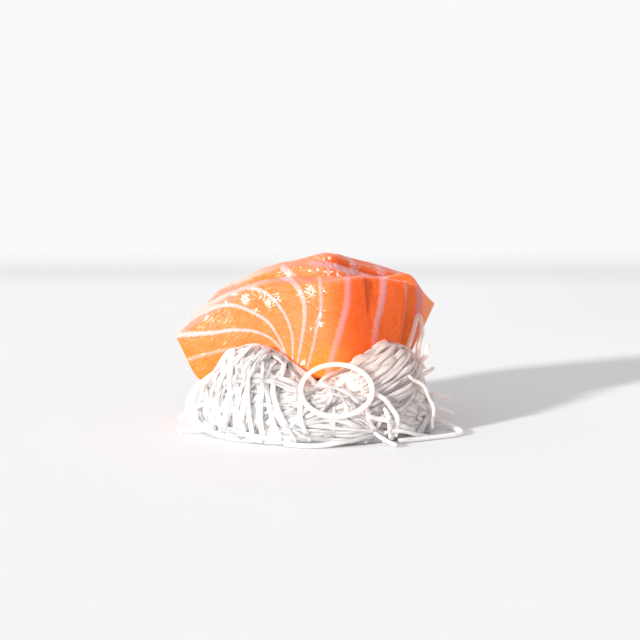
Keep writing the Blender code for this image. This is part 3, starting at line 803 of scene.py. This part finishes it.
def build_radish(material):
    rng = random.Random(SEED)
    placed = Shreds()
    angles = np.linspace(0, 2 * math.pi, 97)[:-1]
    high = RING_TALL * np.sin(angles)
    ring = RING_CENTRE + np.stack(
        [RING_WIDE * np.cos(angles), high * math.sin(RING_TILT), high * math.cos(RING_TILT)], -1)
    tilt = np.tile((0.0, -math.cos(RING_TILT), math.sin(RING_TILT)), (len(ring), 1))
    placed.add(rng, clear_of_slices(ring, 0.9), 1.3, 0.95, tilt, closed=True, turn=0.35)
    for points in LOOSE + WISPS:
        pts = curve(points, np.linspace(0, 1, 10 * len(points)))
        pts, ups = trimmed(relaxed(pts, REST, 1), np.tile((0.0, -0.3, 1.0), (len(pts), 1)), CLEARANCE)
        if len(pts) >= SHORTEST:
            placed.add(rng, pts, SHRED * 0.9, SHRED * 0.65, ups)
    for first, second, count, stray in BUNDLES:
        for k in range(count):
            share = (k + rng.uniform(0.1, 0.9)) / count
            pts, ups = bundled(rng, first, second, share, stray, 28)
            wide = SHRED * rng.uniform(0.55, 1.0)
            pts, ups = trimmed(relaxed(banked(pts, rng.uniform(-0.4, 1.2)), REST), ups, CLEARANCE)
            if len(pts) >= SHORTEST:
                placed.add(rng, pts, wide, wide * rng.uniform(0.45, 0.7), ups)
    for points in SINGLES:
        pts, ups = bundled(rng, points, points, 0.5, 0.0, 34, 60.0)
        pts, ups = trimmed(relaxed(banked(pts + ups, 0.0), REST, 1), ups, CLEARANCE)
        placed.add(rng, pts, SHRED * 0.85, SHRED * 0.55, ups)
    for k in range(HUNG_COUNT):
        pts, ups = hung(rng, (k + rng.uniform(0.1, 0.9)) / HUNG_COUNT, 28)
        wide = SHRED * rng.uniform(0.55, 0.95)
        pts, ups = trimmed(relaxed(pts, REST), ups, CLEARANCE)
        if len(pts) >= SHORTEST:
            placed.add(rng, pts, wide, wide * rng.uniform(0.45, 0.7), ups)
    for first, last, below in BRIMS:
        pts, ups = brim(rng, first, last, below, 26)
        wide = SHRED * rng.uniform(0.6, 0.9)
        placed.add(rng, relaxed(pts, REST), wide, wide * 0.6, ups)
    placed.build("radish_shreds_placed", material)

    count = DRAPED_COUNT
    parts = [Shreds(), Shreds()]
    for k in range(count):
        direction = 360 * ((k * EVEN_TURN) % 1.0)
        if k % 2 and 205 < direction < 345:
            continue
        rise = 0.03 + 0.6 * ((k * EVEN_RISE) % 1.0)
        deep = 1.1 * (1 - k / count) - 0.1
        points, ups = draped(rng, direction, rise, deep, rng.uniform(30, 62), 26)
        wide = SHRED * rng.uniform(0.55, 1.0)
        pts, ups = trimmed(relaxed(banked(points, rng.uniform(0.6, 1.8)), REST), ups, CLEARANCE)
        if len(pts) >= SHORTEST:
            parts[k % 2].add(rng, pts, wide, wide * rng.uniform(0.45, 0.75), ups)
    parts[0].build("radish_shreds_a", material)
    parts[1].build("radish_shreds_b", material)


def build_core(material):
    """Rough lump inside the mound, kept under the slices."""
    rng = random.Random(SEED + 5)
    around, up = 72, 24
    pts = []
    for k in range(up):
        for m in range(around):
            pts.append(mound_point(360 * m / around, 0.9 * k / (up - 1), CORE_SIZE))
    pts = np.array(pts)
    bumps = 0.03 * ripple(rng, pts[:, 0] + pts[:, 1], pts[:, 2] * 2, 7.0)[:, None]
    pts[:, :2] += (pts[:, :2] - (MOUND_X, MOUND_Y)) * bumps
    pts = np.vstack([pts, mound_point(0, 1.0, CORE_SIZE)[None]])
    cleared = clear_of_slices(banked(pts, 1.1), CLEARANCE)
    cleared[:, 2] = np.clip(cleared[:, 2], 0.05, None)
    cleared = np.vstack([cleared, (MOUND_X, MOUND_Y, 0.05)])
    faces = []
    for k in range(up - 1):
        for m in range(around):
            q = (m + 1) % around
            faces.append((k * around + m, k * around + q, (k + 1) * around + q, (k + 1) * around + m))
    top = len(pts) - 1
    first = (up - 1) * around
    for m in range(0, around, 2):
        faces.append((first + m, first + (m + 1) % around, first + (m + 2) % around, top))
        faces.append(((m + 2) % around, (m + 1) % around, m, top + 1))
    thing = make_mesh("radish_core", cleared, np.array(faces))
    attribute(thing, "tone", np.full(len(cleared), 0.5))
    attribute(thing, "painted_salmon_glow", painted_salmon_glow(cleared))
    attribute(thing, "place", cleared * 0.1)
    attribute(thing, "run", cleared * 0.1)
    dress(thing, material, "radish_mound")


# Materials.


class Nodes:
    """Small helper to wire a material."""

    def __init__(self, name):
        self.material = bpy.data.materials.new(name)
        self.material.use_nodes = True
        self.tree = self.material.node_tree
        self.shader = self.tree.nodes["Principled BSDF"]

    def put(self, socket, value):
        if isinstance(value, bpy.types.NodeSocket):
            self.tree.links.new(value, socket)
        else:
            socket.default_value = value

    def give(self, name, value):
        """Sets one of the shader's own sockets."""
        self.put(self.shader.inputs[name], value)

    def attribute(self, name, output="Fac"):
        node = self.tree.nodes.new("ShaderNodeAttribute")
        node.attribute_name = name
        return node.outputs[output]

    def math(self, operation, a, b=0.0, c=0.0):
        node = self.tree.nodes.new("ShaderNodeMath")
        node.operation = operation
        for socket, value in zip(node.inputs, (a, b, c)):
            self.put(socket, value)
        return node.outputs[0]

    def times(self, a, b):
        return self.math("MULTIPLY", a, b)

    def rest(self, share):
        """One less the share."""
        return self.math("SUBTRACT", 1.0, share)

    def split(self, vector):
        node = self.tree.nodes.new("ShaderNodeSeparateXYZ")
        self.put(node.inputs[0], vector)
        return node.outputs

    def scaled(self, vector, x, y, z):
        node = self.tree.nodes.new("ShaderNodeMapping")
        node.inputs["Scale"].default_value = (x, y, z)
        self.put(node.inputs["Vector"], vector)
        return node.outputs[0]

    def noise(self, vector, scale, detail=3.0, rough=0.55, warp=0.0):
        node = self.tree.nodes.new("ShaderNodeTexNoise")
        self.put(node.inputs["Vector"], vector)
        node.inputs["Scale"].default_value = scale
        node.inputs["Detail"].default_value = detail
        node.inputs["Roughness"].default_value = rough
        node.inputs["Distortion"].default_value = warp
        return node.outputs[0]

    def span(self, value, low, high, to_low=0.0, to_high=1.0, smooth=False):
        node = self.tree.nodes.new("ShaderNodeMapRange")
        node.interpolation_type = "SMOOTHSTEP" if smooth else "LINEAR"
        self.put(node.inputs["Value"], value)
        self.put(node.inputs["From Min"], low)
        self.put(node.inputs["From Max"], high)
        self.put(node.inputs["To Min"], to_low)
        self.put(node.inputs["To Max"], to_high)
        return node.outputs[0]

    def mix(self, share, a, b):
        node = self.tree.nodes.new("ShaderNodeMix")
        node.data_type = "RGBA"
        self.put(node.inputs[0], share)
        for socket, value in zip((node.inputs[6], node.inputs[7]), (a, b)):
            self.put(socket, value if isinstance(value, bpy.types.NodeSocket) else (*value, 1.0))
        return node.outputs[2]

    def bump(self, height, strength, distance, normal=None):
        node = self.tree.nodes.new("ShaderNodeBump")
        self.put(node.inputs["Strength"], strength)
        node.inputs["Distance"].default_value = distance
        self.put(node.inputs["Height"], height)
        if normal is not None:
            self.put(node.inputs["Normal"], normal)
        return node.outputs[0]


# Colours of the flesh, then of its edges, its fat and the painted glint.
FLESH = (0.92, 0.15, 0.02)
# Painted shade: darker, redder flesh past the bend, where the face turns from the light, and deeper still at
# the far right.
FLESH_PAINTED_SHADE = (0.82, 0.112, 0.010)
FLESH_DEEPER_PAINTED_SHADE = (0.72, 0.108, 0.012)
FLESH_PATCH = (0.90, 0.135, 0.020)
FLESH_MIDDLE = (0.93, 0.260, 0.110)
GOLDEN = (0.95, 0.140, 0.001)
# Painted light: a lighter golden that lifts the shade near the radish ring, low in the middle of the face.
GOLDEN_PAINTED_LIGHT = (0.95, 0.225, 0.016)
PALE = (0.95, 0.34, 0.16)
# Painted shade: darker copy of the pale fibres for the side past the bend.
PALE_PAINTED_SHADE = (0.86, 0.20, 0.08)
DEEP = (0.90, 0.115, 0.006)
# Painted shade: darker copy of the deep fibres for the side past the bend.
DEEP_PAINTED_SHADE = (0.76, 0.085, 0.006)
# Painted shade: the dark colour in the crease of the split near the top of the front slice.
SLIT_PAINTED_SHADE = (0.70, 0.055, 0.004)
# Pink of the top-left edge: partly the flesh's own pink, partly painted sheen where the edge faces the light.
WASH_PINK_AND_SHEEN = (0.92, 0.200, 0.145)
# Painted light: the second slice's right end, in the front slice's shade, gets a brighter colour, golden at
# its foot.
END_PAINTED_LIGHT = (0.92, 0.185, 0.040)
END_LOW_PAINTED_LIGHT = (0.95, 0.22, 0.010)
# Painted light: the thin tip of the second slice is lighter peach, standing in for light through the thin
# flesh.
TIP_PAINTED_GLOW = (0.95, 0.34, 0.17)
# The top side's colour: lighter and pinker at the left, partly its own pink and partly painted sheen; darker
# at the right as painted shade.
OUTER_LEFT_PAINTED_SHEEN = (0.93, 0.42, 0.36)
OUTER = (0.92, 0.200, 0.11)
OUTER_PAINTED_SHADE = (0.80, 0.155, 0.065)
FAT = (0.92, 0.31, 0.28)
FAT_PALE = (0.93, 0.40, 0.38)
# Painted shade: darker copy of the fat for the side past the bend.
FAT_PAINTED_SHADE = (0.70, 0.27, 0.265)
DULL_PINK = (0.68, 0.33, 0.36)
PAINTED_GLINT = (0.95, 0.86, 0.82)
SALMON_FIELDS = ("fat", "soft", "rim", "under", "slit", "row", "below", "strength", "wet")


def salmon_fields(m):
    """The mesh's fields and the noises that colour and relief share. Lengths are in centimetres."""
    f = SimpleNamespace(**{name: m.attribute(name) for name in SALMON_FIELDS})
    f.grain = m.attribute("grain", "Vector")
    f.cut = m.attribute("cut", "Vector")
    f.along, f.up, f.deep = m.split(f.cut)
    f.streaks = m.noise(m.scaled(f.grain, 34.0, 6.0, 3.0), 1.0, 3.0, 0.65)
    f.fine = m.noise(m.scaled(f.grain, 64.0, 12.0, 6.0), 1.0, 2.0, 0.6)
    f.coarse = m.noise(m.scaled(f.grain, 15.0, 2.6, 1.5), 1.0, 3.0, 0.6)
    f.broad = m.noise(f.cut, 1.1, 2.0)
    f.blotch = m.noise(f.cut, 3.4, 3.0, 0.6, 0.3)
    f.specks = m.noise(f.cut, 26.0, 2.0)
    # Painted shade mask: the side past the bend that faces away from the light.
    f.to_right = m.span(f.along, 4.2, 5.5, smooth=True)
    f.second = m.math("COMPARE", f.row, 1.0, 0.1)
    return f


def flesh_color(m, f):
    """Flesh with its fibres: golden at the lower left; past the bend, where the face turns from the light,
    darker and redder as painted shade.
    """
    flesh = m.mix(f.to_right, FLESH, FLESH_PAINTED_SHADE)
    flesh = m.mix(m.span(f.along, 5.9, 6.5), flesh, FLESH_DEEPER_PAINTED_SHADE)
    flesh = m.mix(m.span(f.broad, 0.35, 0.65, 0.0, 0.35), flesh, FLESH_PATCH)
    middle = m.times(m.span(f.along, 3.0, 3.8, 0.0, 0.45), m.span(f.along, 5.0, 4.5))
    flesh = m.mix(middle, flesh, FLESH_MIDDLE)
    # Golden lower part; towards the middle it is lighter, painted light that lifts the shade near the ring.
    low = m.times(m.span(f.up, 2.9, 2.0, 0.0, 1.0, True), m.span(f.along, 5.4, 4.6, 0.35, 0.9))
    flesh = m.mix(low, flesh, m.mix(m.span(f.along, 2.4, 3.6), GOLDEN, GOLDEN_PAINTED_LIGHT))
    pale = m.mix(f.to_right, PALE, PALE_PAINTED_SHADE)
    crossing = m.times(m.span(f.streaks, 0.46, 0.68, 0.0, 0.56), m.span(f.blotch, 0.35, 0.6, 0.35, 1.0))
    crossing = m.times(crossing, m.rest(m.times(low, 0.6)))
    flesh = m.mix(crossing, flesh, pale)
    flesh = m.mix(m.span(f.fine, 0.50, 0.75, 0.0, 0.30), flesh, pale)
    flesh = m.mix(m.span(f.coarse, 0.50, 0.35, 0.0, 0.30), flesh, m.mix(f.to_right, DEEP, DEEP_PAINTED_SHADE))
    # Painted shade in the crease of the split.
    return m.mix(m.times(f.slit, 0.75), flesh, SLIT_PAINTED_SHADE)


def edge_color(m, f, flesh):
    """Adds the pink wash at the upper left with painted sheen, the second slice's end lit up with painted
    light, and the side on top with painted sheen at the left and painted shade at the right.
    """
    # Pink wash below the top edge at the left: partly the flesh's pink, partly painted sheen.
    reach = m.times(m.math("ADD", f.row, 0.7), m.span(f.broad, 0.3, 0.7, 1.6, 3.2))
    wash = m.span(f.below, m.times(reach, 0.4), reach, 1.0, 0.0, True)
    wash = m.times(wash, m.span(f.along, 1.4, 2.4, 0.85, 0.0, True))
    flesh = m.mix(wash, flesh, WASH_PINK_AND_SHEEN)
    # Painted light on the second slice's end.
    end = m.times(f.second, m.span(f.along, 7.2, 7.7))
    flesh = m.mix(end, flesh, m.mix(m.span(f.up, 3.0, 2.5), END_PAINTED_LIGHT, END_LOW_PAINTED_LIGHT))
    # Painted glow at the second slice's thin tip.
    flesh = m.mix(m.times(f.second, m.span(f.along, 8.05, 8.3)), flesh, TIP_PAINTED_GLOW)
    # Top side: painted sheen at the left, painted shade past the bend on the back slices.
    outer = m.mix(m.span(f.along, 1.8, 3.4), OUTER_LEFT_PAINTED_SHEEN, OUTER)
    shaded_rim_right = m.times(m.span(f.along, 4.6, 5.8), m.math("MINIMUM", f.row, 1.0))
    outer = m.mix(shaded_rim_right, outer, OUTER_PAINTED_SHADE)
    return m.mix(m.times(f.rim, m.span(f.streaks, 0.4, 0.62, 0.72, 1.0)), flesh, outer)


def fat_mask(m, f):
    """Where fat is, with an edge that feathers out more on its lower side."""
    wide = m.times(m.math("SUBTRACT", f.coarse, 0.5), 1.2)
    feather = m.math("ADD", wide, m.times(m.math("SUBTRACT", f.specks, 0.5), 0.6))
    feather = m.times(feather, m.span(f.blotch, 0.35, 0.65, 0.4, 1.3))
    edge = m.math("ADD", f.fat, m.times(feather, m.span(f.under, 0.0, 1.0, 0.5, 1.5)))
    return m.span(edge, m.times(f.soft, -2.0), m.times(f.soft, 1.4), smooth=True)


def fat_color(m, f, color, mask):
    fat = m.mix(m.span(f.fine, 0.3, 0.7), FAT, FAT_PALE)
    fat = m.mix(f.to_right, fat, FAT_PAINTED_SHADE)
    fade = m.times(f.to_right, m.span(f.up, 3.4, 2.4, 0.0, 0.5))
    share = m.times(m.times(mask, f.strength), m.rest(fade))
    return m.mix(share, color, fat)


def dull_top_share(m, f):
    """Where part of the second slice's top is dull pink."""
    dull = m.times(m.span(f.along, 3.8, 4.4), m.span(f.along, 7.1, 6.5))
    dull = m.times(m.times(dull, f.second), m.times(f.rim, m.span(f.deep, 0.95, 1.15)))
    return m.times(dull, m.span(m.noise(f.cut, 4.0, 3.0), 0.36, 0.5))


def drops_and_painted_glints(m, f):
    """Drops of the film, broken into dashes that follow the fibres; the dashes carry the coat and a painted
    white glint.
    """
    dashes = m.noise(m.scaled(f.grain, 26.0, 10.0, 5.0), 1.0, 2.0, 0.5, 0.4)
    dashes = m.math("ADD", dashes, m.span(f.wet, 0.1, 1.0, -0.20, -0.055))
    return m.times(m.span(f.wet, 0.05, 0.2), m.span(dashes, 0.49, 0.54))


def salmon():
    m = Nodes("salmon_wet_flesh")
    f = salmon_fields(m)
    mask = fat_mask(m, f)
    dull = dull_top_share(m, f)
    drops = drops_and_painted_glints(m, f)
    color = fat_color(m, f, edge_color(m, f, flesh_color(m, f)), mask)
    color = m.mix(m.times(dull, 0.85), color, DULL_PINK)
    # Painted highlight: near-white glints painted into the base colour on the drops' dashes.
    m.give("Base Color", m.mix(m.times(drops, 0.85), color, PAINTED_GLINT))
    m.give("Roughness", m.span(f.blotch, 0.35, 0.65, 0.48, 0.36))
    m.give("IOR", 1.4)
    m.give("Specular IOR Level", 0.2)
    m.give("Subsurface Weight", 0.45)
    m.give("Subsurface Radius", (1.0, 0.34, 0.12))
    m.give("Subsurface Scale", 0.0024)
    cover = m.math("MAXIMUM", m.span(f.blotch, 0.45, 0.70, 0.02, 0.22), drops)
    m.give("Coat Weight", m.times(cover, m.rest(dull)))
    m.give("Coat Roughness", 0.16)
    m.give("Coat IOR", 1.5)

    height = m.math("ADD", m.times(f.streaks, 0.7), m.times(f.fine, 0.5))
    height = m.math("ADD", height, m.times(mask, 0.35))
    lumps = m.bump(m.noise(f.cut, 8.0, 3.0, 0.6, 0.5), 0.6, 0.00030)
    m.give("Normal", m.bump(height, 0.5, 0.00018, lumps))
    wave = m.math("ADD", m.noise(f.cut, 9.0, 2.0, 0.5), m.times(f.coarse, 0.7))
    film = m.bump(m.attribute("film"), 1.0, 0.001)
    m.give("Coat Normal", m.bump(wave, 1.0, 0.00005, film))
    return m.material


RADISH = (0.955, 0.920, 0.900)
RADISH_COOL = (0.945, 0.935, 0.935)
RADISH_FIBRE = (0.965, 0.955, 0.945)
# Painted light: the radish on the right, on the dim side, is made whiter.
RADISH_PAINTED_LIGHT_RIGHT = (0.99, 0.960, 0.975)
# Painted shade: darker warm colour for the gaps between shreds on the inner lump.
RADISH_GAP_PAINTED_SHADE = (0.93, 0.845, 0.805)
RADISH_INNER = (0.98, 0.945, 0.925)


def radish(name, see_through, warm, scatter, inner):
    """Radish: see_through is its alpha, warm the painted glow of the salmon's light near the salmon, inner
    how far it is inside.
    """
    m = Nodes(name)
    where = m.attribute("place", "Vector")
    fibres = m.noise(m.scaled(m.attribute("run", "Vector"), 1.2, 2.4, 2.4), 1.0, 3.0, 0.6)
    color = m.mix(m.attribute("tone"), RADISH, RADISH_COOL)
    color = m.mix(m.span(fibres, 0.4, 0.7, 0.0, 0.5), color, RADISH_FIBRE)
    # Painted light lifting the dim right side.
    color = m.mix(m.span(m.split(where)[0], 0.5, 2.0, 0.0, 0.85, True), color, RADISH_PAINTED_LIGHT_RIGHT)
    # On the lump inside the heap, upright noise lines stand in for shreds: the darker, warm ones are painted
    # shade of the gaps between them.
    lines = m.noise(m.scaled(where, 10.0, 10.0, 2.4), 1.0, 2.0, 0.5, 0.4)
    color = m.mix(inner, color, m.mix(m.span(lines, 0.38, 0.55), RADISH_GAP_PAINTED_SHADE, RADISH_INNER))
    # Painted light: the salmon's reflected orange glow on the radish near the face.
    m.give("Base Color", m.mix(m.attribute("painted_salmon_glow"), color, warm))
    m.give("Roughness", m.span(fibres, 0.3, 0.7, 0.22, 0.40))
    m.give("IOR", 1.34)
    m.give("Alpha", see_through)
    m.give("Subsurface Weight", 1.0)
    m.give("Subsurface Radius", (1.0, 0.95, 0.90))
    m.give("Subsurface Scale", scatter)
    m.give("Normal", m.bump(fibres, 0.3, 0.0002, m.bump(lines, inner, 0.0016)))
    return m.material


FLOOR = ((0.620, 0.622, 0.638), (0.635, 0.637, 0.652))
# Painted shade: the floor behind and to the right is darker and bluer, where the light falls off.
FLOOR_FAR_PAINTED_SHADE = (0.555, 0.550, 0.585)
# Painted shade: a grey band across the floor near its far edge, along the horizon.
FLOOR_BAND_PAINTED_SHADE = (0.530, 0.530, 0.550)
FLOOR_FADE_FROM = 0.335
FLOOR_FADE_TO = 0.425


def floor_finish():
    m = Nodes("pale_surface")
    where = m.tree.nodes.new("ShaderNodeTexCoord").outputs["Object"]
    across, back, up = m.split(where)
    color = m.mix(m.noise(where, 60.0, 3.0), *FLOOR)
    # Painted shade at the back right of the floor.
    far = m.times(m.span(across, 0.02, 0.16, smooth=True), m.span(back, 0.08, 0.22, smooth=True))
    color = m.mix(m.times(far, 0.5), color, FLOOR_FAR_PAINTED_SHADE)
    # Painted shade band near the floor's far edge.
    band = m.times(m.span(back, 0.270, 0.325, smooth=True), m.span(back, 0.385, 0.330, smooth=True))
    m.give("Base Color", m.mix(m.times(band, 0.6), color, FLOOR_BAND_PAINTED_SHADE))
    m.give("Roughness", 0.75)
    m.give("Specular IOR Level", 0.2)
    m.give("Alpha", m.span(back, FLOOR_FADE_FROM, FLOOR_FADE_TO, 1.0, 0.0, True))
    return m.material


# Camera, light and floor.

CAMERA_DISTANCE = 600.0
CAMERA_RISE = math.radians(12.0)
PHOTO_SIDE = 640
PHOTO_FOCAL = 2038.0
OBJECT_BASE_ROW = 421.0
SENSOR = 36.0
KEY_FROM = (math.radians(219.0), math.radians(17.0))
KEY_ANGLE = math.radians(5.0)
KEY_STRENGTH = 6.0
KEY_COLOR = (1.0, 0.985, 0.96)
FLOOR_SIDE = 1800
FLOOR_BACK = 440
# Brightness of the room, and the part of it that is left to the right of the camera.
ROOM = 0.955
DIM = 0.78
DIM_SIDE = (0.62, -0.77, 0.15)


def aim(thing, target):
    away = np.array(thing.location) - target
    thing.rotation_mode = "QUATERNION"
    thing.rotation_quaternion = Vector(away).to_track_quat("Z", "Y")


def build_stage():
    scene = bpy.context.scene
    camera = bpy.data.objects.new("camera", bpy.data.cameras.new("camera"))
    camera.data.sensor_width = SENSOR
    camera.data.lens = PHOTO_FOCAL / PHOTO_SIDE * SENSOR
    position = CAMERA_DISTANCE * np.array((0, -math.cos(CAMERA_RISE), math.sin(CAMERA_RISE)))
    camera.location = (position - CENTRE) * MM
    pitch = CAMERA_RISE - math.atan((OBJECT_BASE_ROW - PHOTO_SIDE / 2) / PHOTO_FOCAL)
    camera.rotation_euler = (math.pi / 2 - pitch, 0, 0)
    scene.collection.objects.link(camera)
    scene.camera = camera

    corners = [(-FLOOR_SIDE, -FLOOR_SIDE, 0), (FLOOR_SIDE, -FLOOR_SIDE, 0),
               (FLOOR_SIDE, FLOOR_BACK, 0), (-FLOOR_SIDE, FLOOR_BACK, 0)]
    floor = make_mesh("floor", corners, np.array([[0, 1, 2, 3]]), smooth=False)
    floor.data.materials.append(floor_finish())

    turn, rise = KEY_FROM
    key = bpy.data.objects.new("key", bpy.data.lights.new("key", "SUN"))
    key.data.angle = KEY_ANGLE
    key.data.energy = KEY_STRENGTH
    key.data.color = KEY_COLOR
    spot = np.array((math.cos(turn) * math.cos(rise), math.sin(turn) * math.cos(rise), math.sin(rise)))
    key.location = spot
    aim(key, np.array((0, 0, 0)))
    scene.collection.objects.link(key)

    world = bpy.data.worlds.new("studio")
    scene.world = world
    world.use_nodes = True
    background = world.node_tree.nodes["Background"]
    background.inputs["Color"].default_value = (1.0, 1.0, 1.0, 1.0)
    nodes = world.node_tree.nodes
    links = world.node_tree.links
    way = nodes.new("ShaderNodeTexCoord").outputs["Generated"]
    dot = nodes.new("ShaderNodeVectorMath")
    dot.operation = "DOT_PRODUCT"
    dot.inputs[1].default_value = DIM_SIDE
    links.new(way, dot.inputs[0])
    fade = nodes.new("ShaderNodeMapRange")
    fade.interpolation_type = "SMOOTHSTEP"
    for name, value in (("From Min", 0.1), ("From Max", 0.9), ("To Min", ROOM), ("To Max", ROOM * DIM)):
        fade.inputs[name].default_value = value
    links.new(dot.outputs["Value"], fade.inputs["Value"])
    links.new(fade.outputs[0], background.inputs["Strength"])
    scene.view_settings.view_transform = "Standard"


flesh_material = salmon()
# The warm colours below are the painted glow of the salmon's light on the radish.
shred_material = radish("radish_shreds", 0.60, (0.93, 0.63, 0.55), 0.0022, 0.0)
core_material = radish("radish_inside", 1.0, (0.96, 0.72, 0.63), 0.0050, 0.9)
for spec in SLICES:
    make_slice(spec, flesh_material)
build_core(core_material)
build_radish(shred_material)
build_stage()
